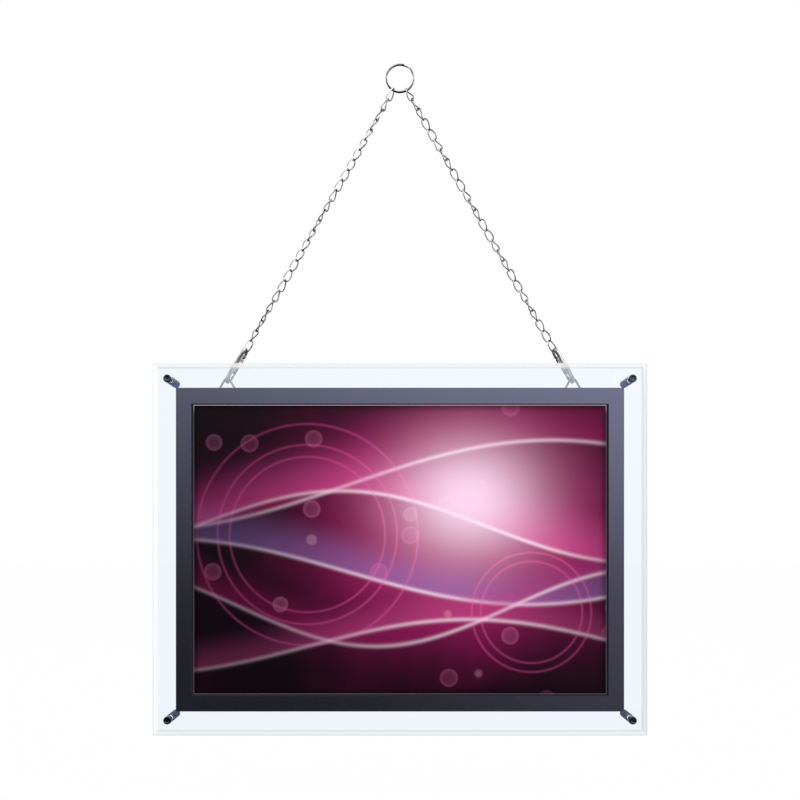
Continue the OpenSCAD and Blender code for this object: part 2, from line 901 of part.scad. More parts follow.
module reflector() {
    color("white") at_panel() plate(guide_w, guide_h, reflector_front, back_front);
}

module light_guide() {
    color("#e8f4fa", 0.6) at_panel() plate(guide_w, guide_h, guide_front, reflector_front);
}

module diffuser() {
    color("#f4f4f4") at_panel() plate(print_w, print_h, diffuser_front, guide_front);
}

// Light strips

module led_board(side) {
    color("#f0f0ea") at_panel() translate([0, 0, side * (cavity_h - board_t) / 2])
        plate(board_l, board_t, back_front - board_w, back_front);
}

module led_board_top() {
    led_board(1);
}

module led_board_bottom() {
    led_board(-1);
}

module leds(side) {
    color("#f6e9a6") at_panel() for (i = [0 : led_count])
        translate([(i - led_count / 2) * led_pitch, 0, side * (cavity_h / 2 - board_t - led_h / 2)])
            plate(led_l, led_h, board_mid - led_w / 2, board_mid + led_w / 2);
}

module leds_top() {
    leds(1);
}

module leds_bottom() {
    leds(-1);
}

module link_wires() {
    run = cavity_h - 2 * board_t;
    color("#b02020") at_panel() for (s = [-1, 1])
        translate([-(cavity_w - guide_side_room) / 2, board_mid + s * wire_d, -run / 2])
            cylinder(d = wire_d, h = run);
}

// Wires from the lower board back through the sheet to the power socket
module feed_wires() {
    reach = jack_y - sqrt(jack_d * jack_d - wire_space * wire_space) / 2 - flat_gap;
    color("#b02020") at_panel() for (s = [-1, 1])
        translate([s * wire_space / 2, 0, wire_z]) bar_y(wire_d, back_front, reach);
}

// Inlet

module inlet_housing() {
    color("#2b2c30") at_panel() difference() {
        translate([0, 0, inlet_mid]) union() {
            plate(inlet_w, inlet_h, sheet_back, sheet_back + inlet_d);
            plate(inlet_w + 2 * inlet_ear, inlet_ear, sheet_back, sheet_back + inlet_ear_t);
        }
        translate([0, 0, inlet_mid])
            plate(inlet_w - 2 * inlet_wall, inlet_h - 2 * inlet_wall, sheet_back - cut, sheet_back + inlet_d - inlet_wall);
        translate([0, jack_y, inlet_mid - inlet_h]) cylinder(d = jack_d + 2 * thread_gap, h = inlet_h);
        at_inlet_screws() pass_hole();
    }
}

module dc_jack() {
    foot = inlet_mid - inlet_h / 2;
    color("#1d1e21") at_panel() translate([0, jack_y, foot]) rotate_extrude() polygon([
        [0, 1], [jack_pin / 2, 1], [jack_pin / 2, jack_depth], [jack_bore / 2, jack_depth],
        [jack_bore / 2, 0], [jack_d / 2, 0], [jack_d / 2, jack_l], [0, jack_l]
    ]);
}

module inlet_screws() {
    color("#b0b2b6") at_panel() at_inlet_screws() screw_y(sheet_back + inlet_ear_t, inlet_ear_t + sheet_t);
}

split_ring();
chain_left();
chain_right();
hook_left();
hook_right();
gate_left();
gate_right();
gate_pin_left();
gate_pin_right();
triangle_left();
triangle_right();
bracket_left();
bracket_right();
bracket_screws();
hang_rail();
rail_screws();
sheet_screws();
clear_sheet();
cap_top_left();
cap_top_right();
cap_bottom_left();
cap_bottom_right();
standoff_barrels();
standoff_washers();
border_frame();
frame_magnets();
print();
top_rail();
bottom_rail();
left_rail();
right_rail();
corner_keys();
keeper_strips();
back_plate();
reflector();
light_guide();
diffuser();
led_board_top();
led_board_bottom();
leds_top();
leds_bottom();
link_wires();
feed_wires();
inlet_housing();
dc_jack();
inlet_screws();
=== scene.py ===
"""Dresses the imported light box. Every length is in metres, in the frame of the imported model."""

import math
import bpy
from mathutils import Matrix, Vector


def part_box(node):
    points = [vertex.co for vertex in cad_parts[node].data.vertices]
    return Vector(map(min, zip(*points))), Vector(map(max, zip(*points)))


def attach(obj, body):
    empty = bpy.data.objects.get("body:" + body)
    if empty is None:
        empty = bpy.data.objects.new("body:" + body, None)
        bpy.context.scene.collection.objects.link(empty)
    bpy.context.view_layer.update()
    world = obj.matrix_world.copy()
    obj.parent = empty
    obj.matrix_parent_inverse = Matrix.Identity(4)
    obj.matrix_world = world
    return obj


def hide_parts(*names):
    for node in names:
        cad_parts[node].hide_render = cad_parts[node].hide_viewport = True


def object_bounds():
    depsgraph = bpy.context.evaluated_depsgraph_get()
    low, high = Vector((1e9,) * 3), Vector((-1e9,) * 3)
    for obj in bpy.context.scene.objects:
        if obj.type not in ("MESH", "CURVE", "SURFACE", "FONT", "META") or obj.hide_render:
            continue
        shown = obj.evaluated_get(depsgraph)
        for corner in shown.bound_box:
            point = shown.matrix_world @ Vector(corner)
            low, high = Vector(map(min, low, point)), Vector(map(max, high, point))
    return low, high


bl_info = {
    "name": "Hanging light box",
    "version": (1, 0, 0),
    "blender": (4, 5, 0),
    "location": "3D View > Sidebar > Light Box",
    "description": "Dresses the packed light box: chain, standoffs, clear sheet, frame and lit print",
    "category": "Object",
}

import bmesh
import bpy
from bpy.props import FloatProperty, FloatVectorProperty, IntProperty, PointerProperty
from mathutils import Matrix, Vector

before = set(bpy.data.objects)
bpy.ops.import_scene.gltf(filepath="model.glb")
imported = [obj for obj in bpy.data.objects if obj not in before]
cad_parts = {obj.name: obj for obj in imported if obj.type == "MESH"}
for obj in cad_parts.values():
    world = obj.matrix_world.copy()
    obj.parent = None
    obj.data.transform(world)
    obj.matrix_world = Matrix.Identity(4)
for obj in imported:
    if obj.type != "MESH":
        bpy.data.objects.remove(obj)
CAD_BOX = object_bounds()

MM = 0.001
FULL_TURN = 2 * math.pi
BLACK = (0.0, 0.0, 0.0)
WHITE = (1.0, 1.0, 1.0)

# Edges that turn by more than this are kept sharp: on most pieces, and on flat plates
SMOOTH_ANGLE = math.radians(38)
PLATE_ANGLE = math.radians(12)

PRINT_LOW, PRINT_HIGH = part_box("print")
PRINT_HALF_WIDTH = (PRINT_HIGH.x - PRINT_LOW.x) / 2
PRINT_HALF_HEIGHT = (PRINT_HIGH.z - PRINT_LOW.z) / 2
WINDOW_MIDDLE = (PRINT_LOW + PRINT_HIGH) / 2
FRAME_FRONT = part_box("border_frame")[0].y
CAP_NODES = ("cap_top_left", "cap_top_right", "cap_bottom_left", "cap_bottom_right")

# The frame's cover over the print's edge, and the width of the sheet's bevel
FRAME_LIP = 5 * MM
SHEET_BEVEL = 5 * MM

# Depth of every bump, and edges round a screw
BUMP_DEPTH = 0.05 * MM
LOOP_EDGES = 36

# Points this close are merged: between a CAD node's triangles, and at a turned piece's poles
JOIN_GAP = 0.001 * MM
POLE_GAP = 0.01 * MM


# Shader maths

class Value:
    """A number that varies over a surface; arithmetic on it adds Math nodes."""

    def __init__(self, shade, socket):
        self.shade = shade
        self.socket = socket

    def math(self, operation, *others):
        settings = {"operation": operation}
        inputs = dict(enumerate((self,) + others))
        return self.shade.value("ShaderNodeMath", settings, inputs)

    def __add__(self, other):
        return self.math("ADD", other)

    def __sub__(self, other):
        return self.math("SUBTRACT", other)

    def __mul__(self, other):
        return self.math("MULTIPLY", other)

    def __truediv__(self, other):
        return self.math("DIVIDE", other)

    def __neg__(self):
        return self.math("MULTIPLY", -1.0)

    def __radd__(self, other):
        return self + other

    def __rmul__(self, other):
        return self * other

    def __rsub__(self, other):
        return self.shade.value("ShaderNodeMath", {"operation": "SUBTRACT"}, {0: other, 1: self})

    def __rtruediv__(self, other):
        return self.shade.value("ShaderNodeMath", {"operation": "DIVIDE"}, {0: other, 1: self})

    def bell(self, width):
        """Soft hump that is 1 where the value is 0 and falls off over the width."""
        scaled = self / width
        return (-(scaled * scaled)).math("EXPONENT")

    def step(self, low, high):
        """Smooth step from 0 at low to 1 at high."""
        settings = {"interpolation_type": "SMOOTHSTEP"}
        inputs = {"Value": self, "From Min": low, "From Max": high}
        return self.shade.value("ShaderNodeMapRange", settings, inputs)


class Shade:
    """The nodes of one material, or of the world, and the means to add to them."""

    def __init__(self, name, kind="materials"):
        self.owner = getattr(bpy.data, kind).new(name)
        self.owner.use_nodes = True
        self.tree = self.owner.node_tree
        self.tree.nodes.clear()

    def node(self, kind, settings=None, inputs=None):
        """A node with its settings, and with a value or a link on each named socket."""
        made = self.tree.nodes.new(kind)
        for key, setting in (settings or {}).items():
            setattr(made, key, setting)
        for key, given in (inputs or {}).items():
            source = given.socket if isinstance(given, Value) else given
            if isinstance(source, bpy.types.NodeSocket):
                self.tree.links.new(source, made.inputs[key])
            else:
                made.inputs[key].default_value = source
        return made

    def value(self, kind, settings=None, inputs=None, output=0):
        return Value(self, self.node(kind, settings, inputs).outputs[output])

    def attribute(self, name):
        """A number that the piece's own mesh carries."""
        return self.value("ShaderNodeAttribute", {"attribute_name": name}, None, "Fac")

    def place(self, middle=(0, 0, 0), scale=(1, 1, 1)):
        """Object coordinates about a point, scaled."""
        coordinates = self.node("ShaderNodeTexCoord").outputs["Object"]
        shift = tuple(-m * s for m, s in zip(middle, scale))
        inputs = {"Vector": coordinates, "Location": shift, "Scale": scale}
        return self.node("ShaderNodeMapping", None, inputs).outputs["Vector"]

    def axes(self, vector):
        split = self.node("ShaderNodeSeparateXYZ", None, {0: vector})
        return [Value(self, out) for out in split.outputs]

    def noise(self, vector, scale, detail=4.0, roughness=0.55):
        inputs = {"Vector": vector, "Scale": scale, "Detail": detail, "Roughness": roughness}
        return self.value("ShaderNodeTexNoise", None, inputs, "Fac")

    def mix(self, factor, low, high):
        """Mix of two colours, each a tuple or a socket."""
        inputs = {"Factor": factor, 6: self.colour(low), 7: self.colour(high)}
        return self.node("ShaderNodeMix", {"data_type": "RGBA"}, inputs).outputs[2]

    @staticmethod
    def colour(given):
        if isinstance(given, bpy.types.NodeSocket):
            return given
        return (*given, 1.0)

    def bump(self, height, strength):
        inputs = {"Strength": strength, "Distance": BUMP_DEPTH, "Height": height}
        return self.node("ShaderNodeBump", None, inputs).outputs["Normal"]

    def surface(self, **inputs):
        """Principled surface; names are its sockets with underscores for spaces."""
        sockets = {}
        for key, given in inputs.items():
            name = key.replace("_", " ").title().replace("Ior", "IOR")
            sockets[name] = (*given, 1.0) if isinstance(given, tuple) else given
        shader = self.node("ShaderNodeBsdfPrincipled", None, sockets)
        self.node("ShaderNodeOutputMaterial", None, {"Surface": shader.outputs[0]})
        return self.owner


def distance(away_x, away_z):
    """Length of an offset in X and Z."""
    return (away_x * away_x + away_z * away_z).math("SQRT")


def lighter(colour, times, more=0.0):
    """A colour made lighter, up to white."""
    return tuple(min(1.0, times * part + more) for part in colour)


# Sizes and colours that a user may change

class LightBoxSizes(bpy.types.PropertyGroup):
    """Sizes of the dressed pieces that a user may change."""

    cap_edge: FloatProperty(
        name="Cap edge", description="Rounding of a standoff cap's front edge",
        default=0.75 * MM, unit="LENGTH",
    )
    cap_dish: FloatProperty(
        name="Cap dish", description="Radius of the dish in a standoff cap's face",
        default=2.5 * MM, unit="LENGTH",
    )
    cap_steps: IntProperty(
        name="Cap steps", description="Segments round a standoff cap",
        default=64, min=24, max=128,
    )
    link_levels: IntProperty(
        name="Link smoothing", description="Subdivision levels of the chain's links",
        default=1, min=0, max=2,
    )
    wire_levels: IntProperty(
        name="Wire smoothing", description="Subdivision levels of the ring; the triangles have one less",
        default=2, min=1, max=3,
    )
    edge_break: FloatProperty(
        name="Edge break", description="Broken edge on bars, brackets and the inlet housing",
        default=0.35 * MM, unit="LENGTH",
    )
    # Painted light: the haze takes away part of the light through the sheet and glows in its tint
    # instead
    sheet_painted_haze: FloatProperty(
        name="Sheet haze", description="Share of scattered light in the clear sheet",
        default=0.30, subtype="FACTOR",
    )
    sheet_relief: FloatProperty(
        name="Sheet relief", description="Gap between the sheet and the light engine's rear faces",
        default=0.15 * MM, unit="LENGTH",
    )
    lens: FloatProperty(
        name="Lens", description="Focal length of the camera, in millimetres",
        default=29.63, unit="CAMERA",
    )
    view_distance: FloatProperty(
        name="View distance", description="From the camera to the front of the frame",
        default=0.650, unit="LENGTH",
    )
    view_rise: FloatProperty(
        name="View rise", description="Height of the camera above the middle of the print",
        default=0.0194, unit="LENGTH",
    )
    view_shift: FloatProperty(
        name="View shift", description="Vertical shift of the lens",
        default=0.1625,
    )
    floor_gap: FloatProperty(
        name="Floor gap", description="From the sheet's lower edge down to the floor",
        default=0.12, unit="LENGTH",
    )


def colour_property(name, description, default):
    return FloatVectorProperty(
        name=name, description=description, default=default, subtype="COLOR", min=0.0, max=1.0,
    )


class LightBoxLooks(bpy.types.PropertyGroup):
    """Colours of the dressed pieces that a user may change."""

    nickel_dark: colour_property(
        "Nickel, dark", "Dark tone of the plated hardware", (0.034, 0.032, 0.031))
    nickel_pale: colour_property(
        "Nickel, pale", "Pale tone of the plated hardware", (0.16, 0.152, 0.148))
    # Painted highlight on the left side of each chain leg
    chain_painted_light: colour_property(
        "Chain, worn", "Bright side of the chain's links", (0.62, 0.61, 0.60))
    acrylic_tint: colour_property(
        "Acrylic tint", "Tint of the clear sheet", (0.875, 0.918, 0.970))
    # Painted light and shade on the sheet's bevels: a colour for each side, and grey lines along the
    # bevel's edges
    bevel_right_painted_light: colour_property(
        "Bevel, blue", "Tint of the sheet's right bevel", (0.81, 0.88, 0.94))
    bevel_lower_painted_light: colour_property(
        "Bevel, green", "Tint of the sheet's lower bevel", (0.91, 0.97, 0.985))
    bevel_upper_painted_light: colour_property(
        "Bevel, sky", "Tint of the sheet's upper bevel", (0.93, 0.955, 0.975))
    bevel_line_painted_shade: colour_property(
        "Bevel, line", "Grey of the bevel's edges", (0.64, 0.68, 0.72))
    frame_colour: colour_property(
        "Frame", "Colour of the satin frame", (0.007, 0.006, 0.007))
    frame_sheen: colour_property(
        "Frame sheen", "Tint of the satin frame's sheen", (0.66, 0.68, 1.0))
    cap_colour: colour_property(
        "Caps", "Colour of the standoff caps", (0.020, 0.021, 0.027))
    # Painted light: the studs in the sheet's holes are painted near white for the bright band round each
    # hole
    stud_painted_light: colour_property(
        "Studs", "Colour of the bright studs in the sheet", (0.90, 0.90, 0.96))
    # Painted shade and light on the barrels: darker along the top, paler along the underside, as if lit
    # from below
    barrel_colour: colour_property(
        "Barrels", "Blued steel of the standoff barrels", (0.020, 0.031, 0.072))
    barrel_painted_underlight: colour_property(
        "Barrels, pale", "Painted light, paler along the underside", (0.105, 0.150, 0.320))
    art_deep: colour_property(
        "Art, deep", "Darkest colour of the print", (0.004, 0.001, 0.003))
    art_mid: colour_property(
        "Art, middle", "Main colour of the print", (0.34, 0.010, 0.115))
    art_pink: colour_property(
        "Art, pink", "Pink of the print's folds, rings and discs", (0.78, 0.10, 0.36))
    art_violet: colour_property(
        "Art, violet", "Violet of the print's folds", (0.27, 0.14, 0.42))
    art_pale: colour_property(
        "Art, pale", "Palest colour of the print", (0.94, 0.72, 0.87))
    # Pale line along the lip; a painted highlight brightens it along the top
    art_lip_line: colour_property(
        "Art, rim", "Pale line at the lip, with a painted highlight along the top", (0.55, 0.45, 0.52))
    art_strength: FloatProperty(
        name="Art strength", description="Brightness of the lit print",
        default=1.0, min=0.0, max=5.0,
    )


def sizes():
    return bpy.context.scene.light_box_sizes


def looks():
    return bpy.context.scene.light_box_looks


def look(name):
    """One of the colours that a user may change."""
    return tuple(getattr(looks(), name))


# Finishes

def leg_axes(shade, place, leg):
    """Distances aside from, behind and along a chain's leg, from its slant in radians."""
    across, depth, height = shade.axes(place)
    aside = across * math.cos(leg) + height * math.sin(leg)
    along = across * math.sin(leg) - height * math.cos(leg)
    return aside, depth, along


def bright_nickel(name, shine=1.0, leg=0.0, lit_side_share=0.0, drawn=False):
    """Plated wire; on a chain's leg one side can be painted lighter, a painted highlight as if lit from
    the left.

    Shine lightens both tones of the plating. A leg is the slant of its middle line in radians.
    On drawn bar the tones run in streaks along the leg; elsewhere they are patches.
    """
    shade = Shade(name)
    place = shade.place()
    if drawn:
        aside, depth, along = leg_axes(shade, place, leg)
        streaks = shade.node("ShaderNodeCombineXYZ", None, {0: aside, 1: depth, 2: along * 0.15})
        cloud = shade.noise(streaks.outputs[0], 520.0, 1.0)
    else:
        cloud = shade.noise(place, 240.0, 1.0)
    scratches = shade.noise(place, 1900.0, 3.0)
    dark = tuple(shine * part for part in look("nickel_dark"))
    pale = tuple(shine * part for part in look("nickel_pale"))
    tone = shade.mix(cloud.step(0.35, 0.68), dark, pale)
    # Painted highlight: the left side of each leg is lighter, as if lit from the left
    if lit_side_share:
        aside = leg_axes(shade, place, leg)[0]
        painted_lit_side = 1 - (aside + cloud * 1.2 * MM).step(-1.6 * MM, 1.2 * MM)
        tone = shade.mix(painted_lit_side * lit_side_share, tone, look("chain_painted_light"))
    return shade.surface(
        base_color=tone,
        metallic=1.0,
        roughness=0.16 + cloud * 0.16,
        normal=shade.bump(scratches, 0.06),
    )


def clear_acrylic():
    """Clear sheet: pale tint inside with a painted haze glow; its polished bevels glow with painted
    light between thin painted shade lines.
    """
    shade = Shade("clear acrylic")
    low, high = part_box("clear_sheet")
    middle = (low + high) / 2
    across, _, up = shade.axes(shade.place(middle))
    aside = across.math("ABSOLUTE")
    off_level = up.math("ABSOLUTE")

    # The bevel's four sides meet in mitres
    blur = 1.0 * MM
    edge_x = (high.x - low.x) / 2 - aside
    edge_z = (high.z - low.z) / 2 - off_level
    edge = edge_x.math("MINIMUM", edge_z)
    level = (edge_x - edge_z).step(-blur, blur)
    right = across.step(0.0, blur) * (1 - level)
    left = (1 - across.step(-blur, 0.0)) * (1 - level)
    below = (1 - up.step(-blur, 0.0)) * level
    above = up.step(0.0, blur) * level

    # The painted shade lines are fainter inside the left bevel and outside the upper one
    band = 1 - edge.step(SHEET_BEVEL - 0.4 * MM, SHEET_BEVEL + 0.2 * MM)
    inner = (edge - SHEET_BEVEL).bell(0.45 * MM) * (1 - left * 0.5)
    outer = edge.bell(0.7 * MM) * (1 - above * 0.8)
    line = (inner + outer).math("MINIMUM", 1.0)
    glow = band.math("MAXIMUM", line)
    # Painted reflections: each side of the bevel takes its own colour
    bevel = shade.mix(right, WHITE, look("bevel_right_painted_light"))
    bevel = shade.mix(below, bevel, look("bevel_lower_painted_light"))
    bevel = shade.mix(above, bevel, look("bevel_upper_painted_light"))
    bevel = shade.mix(line, bevel, look("bevel_line_painted_shade"))

    # The drilled holes are frosted and glow with painted light, and the painted haze glow keeps away
    # from the standoffs
    cap_low, cap_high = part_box("cap_top_right")
    hole = (cap_low + cap_high) / 2 - middle
    away = distance(aside - hole.x, off_level - hole.z)
    frost = 1 - away.step(2.8 * MM, 3.2 * MM)
    haze = away.step(13 * MM, 18 * MM) * sizes().sheet_painted_haze

    tint = look("acrylic_tint")
    colour = shade.mix(haze, tint, BLACK)
    colour = shade.mix(glow, colour, bevel)
    colour = shade.mix(glow * 0.80, colour, BLACK)
    colour = shade.mix(frost, colour, WHITE)
    # Painted light: the bevels, the haze and the frosted holes glow by emission
    light = shade.mix(haze * (1 - glow) * 0.56, BLACK, tint)
    light = shade.mix(glow * (0.50 + left * 0.05), light, bevel)
    light = shade.mix(frost * 0.45, light, (0.85, 0.88, 1.0))
    scuffs = shade.noise(shade.place(), 160.0, 6.0, 0.7)
    return shade.surface(
        base_color=colour,
        roughness=scuffs.step(0.62, 0.95) * 0.05 + band * 0.28 + frost * 0.7,
        transmission_weight=1.0,
        specular_ior_level=0.03,
        specular_tint=(0.25, 0.25, 0.25),
        ior=1.49,
        emission_color=light,
        emission_strength=1.0,
    )


def satin_frame():
    """Satin metal with a fine grain, duller on the inner edge except along the top."""
    shade = Shade("satin frame")
    place = shade.place()
    grain = shade.noise(place, 2600.0, 2.0)
    cloud = shade.noise(place, 30.0, 3.0)
    base = look("frame_colour")
    across, _, up = shade.axes(shade.place(WINDOW_MIDDLE))
    past_x = across.math("ABSOLUTE") - (PRINT_HALF_WIDTH - FRAME_LIP)
    past_z = up.math("ABSOLUTE") - (PRINT_HALF_HEIGHT - FRAME_LIP)
    top = up.step(0.0, 1.0 * MM) * (past_z - past_x).step(-0.3 * MM, 0.3 * MM)
    lip = (1 - past_x.math("MAXIMUM", past_z).step(1.0 * MM, 1.3 * MM)) * (1 - top)
    return shade.surface(
        base_color=shade.mix(cloud.step(0.3, 0.75), base, lighter(base, 1.18)),
        roughness=0.19 + grain * 0.08 + lip * 0.7,
        metallic=lip * 0.6,
        specular_ior_level=1.0,
        specular_tint=look("frame_sheen"),
        normal=shade.bump(grain, 0.10),
    )


def turned_metal(name, colour, roughness, ring_pitch, ring_depth, shank=None, underside=None,
                 metallic=1.0, specular=0.5):
    """Lathe-turned metal: fine rings follow the piece's own distance from its axis.

    A shank is (depth, colour): the metal behind that depth has the other colour.
    An underside is the colour that the tone fades to below the axis: painted light, the underside paler
    as if lit from below.
    """
    shade = Shade(name)
    ring = (shade.attribute("turning") * (FULL_TURN / ring_pitch)).math("SINE")
    place = shade.place()
    cloud = shade.noise(place, 900.0)
    tone = shade.mix(cloud.step(0.3, 0.7), colour, lighter(colour, 1.35))
    if shank:
        shank_depth, shank_colour = shank
        depth = shade.axes(place)[1]
        tone = shade.mix(depth.step(shank_depth - 0.1 * MM, shank_depth), tone, shank_colour)
    # Painted light: paler below the axis, darker above it
    if underside:
        tone = shade.mix(shade.attribute("rise").step(-3 * MM, 3 * MM), underside, tone)
    return shade.surface(
        base_color=tone,
        metallic=metallic,
        specular_ior_level=specular,
        roughness=roughness + cloud * 0.08,
        normal=shade.bump(ring, ring_depth),
    )


def brushed(name, colour, roughness, stretch):
    """Brushed metal: the brush lines are noise scaled by the stretch along each axis."""
    shade = Shade(name)
    lines = shade.noise(shade.place(scale=stretch), 1.0, 5.0, 0.65)
    cloud = shade.noise(shade.place(), 45.0)
    return shade.surface(
        base_color=shade.mix(lines.step(0.3, 0.7), colour, lighter(colour, 1.15)),
        metallic=1.0,
        roughness=roughness + cloud * 0.1,
        normal=shade.bump(lines, 0.15),
    )


def moulded(name, colour, roughness, grain_scale, grain_depth):
    """Plastic, film or rubber with a fine moulded grain."""
    shade = Shade(name)
    place = shade.place()
    grain = shade.noise(place, grain_scale, 2.0)
    cloud = shade.noise(place, 60.0)
    return shade.surface(
        base_color=shade.mix(cloud.step(0.3, 0.7), colour, lighter(colour, 1.12, 0.01)),
        roughness=roughness + cloud * 0.08,
        normal=shade.bump(grain, grain_depth),
    )


def glowing_lamp():
    """Yellow phosphor of a lit lamp."""
    shade = Shade("phosphor lamp")
    speck = shade.noise(shade.place(), 3000.0)
    colour = shade.mix(speck.step(0.3, 0.7), (0.85, 0.72, 0.30), (1.0, 0.92, 0.62))
    return shade.surface(
        base_color=colour,
        roughness=0.5 + speck * 0.1,
        emission_color=colour,
        emission_strength=0.6,
    )


def lit_opal():
    """Opal diffuser with light behind it, brighter toward the two rows of lamps."""
    shade = Shade("opal sheet")
    low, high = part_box("diffuser")
    _, _, up = shade.axes(shade.place((low + high) / 2))
    near_lamps = (up.math("ABSOLUTE") * (2 / (high.z - low.z))).step(0.6, 1.0)
    grain = shade.noise(shade.place(), 1800.0, 2.0)
    return shade.surface(
        base_color=(0.88, 0.88, 0.88),
        roughness=0.45 + grain * 0.05,
        emission_color=shade.mix(near_lamps, (0.80, 0.82, 0.86), (0.96, 0.97, 1.0)),
        emission_strength=0.55,
    )


def guide_plastic():
    """Clear plastic of the light guide, faintly hazed."""
    shade = Shade("light guide")
    haze = shade.noise(shade.place(), 400.0)
    return shade.surface(
        base_color=(0.93, 0.96, 0.98),
        roughness=0.05 + haze * 0.06,
        transmission_weight=0.9,
        ior=1.49,
    )


# The print's own design: silk folds, thin rings, soft discs and a dark surround

# Each fold: swing, waves, start, height, width, colour and weight
FOLDS = (
    (0.30, 1.15, 0.4, 0.42, 0.55, "art_mid", 0.80),
    (0.24, 1.60, 2.2, 0.14, 0.40, "art_pink", 0.60),
    (0.22, 1.30, 3.6, -0.16, 0.34, "art_violet", 0.75),
    (0.26, 1.75, 5.0, -0.40, 0.30, "art_mid", 0.70),
    (0.18, 1.45, 0.9, -0.66, 0.26, "art_pink", 0.40),
)
# Each ring: across, up and radius
RINGS = (
    (-0.62, 0.10, 0.52),
    (-0.62, 0.10, 0.60),
    (-0.62, 0.10, 0.74),
    (0.88, -0.42, 0.34),
    (0.88, -0.42, 0.40),
)


def lit_print():
    """The lit sheet, with its design, a painted shadow of the frame's lip along its border and a thin
    pale line at the lip, given a painted highlight along the top.

    The design's unit is half the print's height, from the middle of the print.
    """
    shade = Shade("lit print")
    unit = PRINT_HALF_HEIGHT
    place = shade.place(WINDOW_MIDDLE, (1 / unit, 0, 1 / unit))
    across, _, up = shade.axes(place)
    cloud = shade.noise(place, 1.4, 3.0) - 0.5
    glow = (across - 0.42).bell(0.95) * (up - 0.18).bell(0.80)
    colour = shade.mix((glow + cloud * 0.30).step(0.0, 1.0), look("art_deep"), look("art_mid"))
    for swing, waves, start, height, width, tint, weight in FOLDS:
        path = (across * waves + start).math("SINE") * swing + height
        rise = up - path
        fold = rise.step(0.0, 0.012) * (1 - rise.step(0.0, width)) * weight
        colour = shade.mix(fold * (0.20 + glow * 0.85), colour, look(tint))
        crest = (rise - 0.012).bell(0.014) * (0.08 + glow * 0.75)
        colour = shade.mix(crest, colour, look("art_pale"))
    for ring_x, ring_z, radius in RINGS:
        away = distance(across - ring_x, up - ring_z) - radius
        colour = shade.mix(away.bell(0.008) * (0.10 + glow * 0.35), colour, look("art_pink"))
    colour = soft_discs(shade, place, colour, glow, scale=4.5, radius=0.30, weight=0.26)
    core = (across - 0.46).bell(0.42) * (up - 0.34).bell(0.36)
    colour = shade.mix(core * 0.85, colour, look("art_pale"))
    edge_x = PRINT_HALF_WIDTH / unit - across.math("ABSOLUTE")
    edge_z = 1 - up.math("ABSOLUTE")
    edge = edge_x.math("MINIMUM", edge_z) * unit
    # Painted shadow: the print darkens toward the frame's lip, as if shaded by it
    lip_painted_shadow = edge.step(FRAME_LIP - 0.4 * MM, FRAME_LIP + 8 * MM)
    colour = shade.mix(0.45 + lip_painted_shadow * 0.55, BLACK, colour)
    # A thin pale line along the lip, with a painted highlight that makes it brightest along the top
    rim = 1 - edge.step(FRAME_LIP + 0.25 * MM, FRAME_LIP + 0.6 * MM)
    colour = shade.mix(rim * (0.20 + up.step(0.90, 0.96) * 0.66), colour, look("art_lip_line"))
    return shade.surface(
        base_color=shade.mix(0.85, colour, BLACK),
        roughness=0.45 + cloud * 0.1,
        emission_color=colour,
        emission_strength=looks().art_strength,
        specular_ior_level=0.04,
    )


def soft_discs(shade, place, under, glow, scale, radius, weight):
    """Out-of-focus discs scattered where the glow is."""
    scaled = shade.node("ShaderNodeMapping", None, {"Vector": place, "Scale": (scale, 1.0, scale)})
    settings = {"voronoi_dimensions": "3D", "feature": "F1"}
    inputs = {"Vector": scaled.outputs[0], "Scale": 1.0, "Randomness": 0.5}
    cells = shade.node("ShaderNodeTexVoronoi", settings, inputs)
    near = Value(shade, cells.outputs["Distance"])
    pick, hue, _ = shade.axes(cells.outputs["Color"])
    disc = 1 - near.step(radius - 0.05, radius)
    ring = near.step(radius - 0.16, radius - 0.04) * 0.5 + 0.5
    chosen = pick.step(0.55, 0.62) * (0.3 + glow)
    tint = shade.mix(hue, look("art_pink"), look("art_pale"))
    return shade.mix(disc * ring * chosen * weight, under, tint)


# Mesh helpers

def dress(node, material):
    """Gives a CAD node a finish in place of its plain colour."""
    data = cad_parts[node].data
    data.materials.clear()
    data.materials.append(material)


def merged_copy(node):
    """A bmesh of a CAD node's own shape with its loose triangles joined up."""
    mesh = bmesh.new()
    mesh.from_mesh(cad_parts[node].data)
    bmesh.ops.remove_doubles(mesh, verts=mesh.verts, dist=JOIN_GAP)
    return mesh


def islands(node):
    """Lowest and highest corners of each separate solid in a CAD node."""
    mesh = merged_copy(node)
    seen = set()
    found = []
    for start in mesh.verts:
        if start in seen:
            continue
        group = [start]
        seen.add(start)
        for vert in group:
            for edge in vert.link_edges:
                other = edge.other_vert(vert)
                if other not in seen:
                    seen.add(other)
                    group.append(other)
        spots = [vert.co for vert in group]
        low = Vector(min(spot[i] for spot in spots) for i in range(3))
        high = Vector(max(spot[i] for spot in spots) for i in range(3))
        found.append((low, high))
    mesh.free()
    return found


def measure_turning(mesh, axes):
    """Stores each point's distance from the nearest axis along Y, and its rise above that axis."""
    layers = mesh.verts.layers.float
    # Making a layer moves the one before it, so both are made before either is used
    for name in ("turning", "rise"):
        layers.new(name)
    radius_layer = layers["turning"]
    rise_layer = layers["rise"]
    for vert in mesh.verts:
        offsets = [(vert.co.x - axis.x, vert.co.z - axis.z) for axis in axes]
        across, rise = min(offsets, key=lambda offset: math.hypot(*offset))
        vert[radius_layer] = math.hypot(across, rise)
        vert[rise_layer] = rise


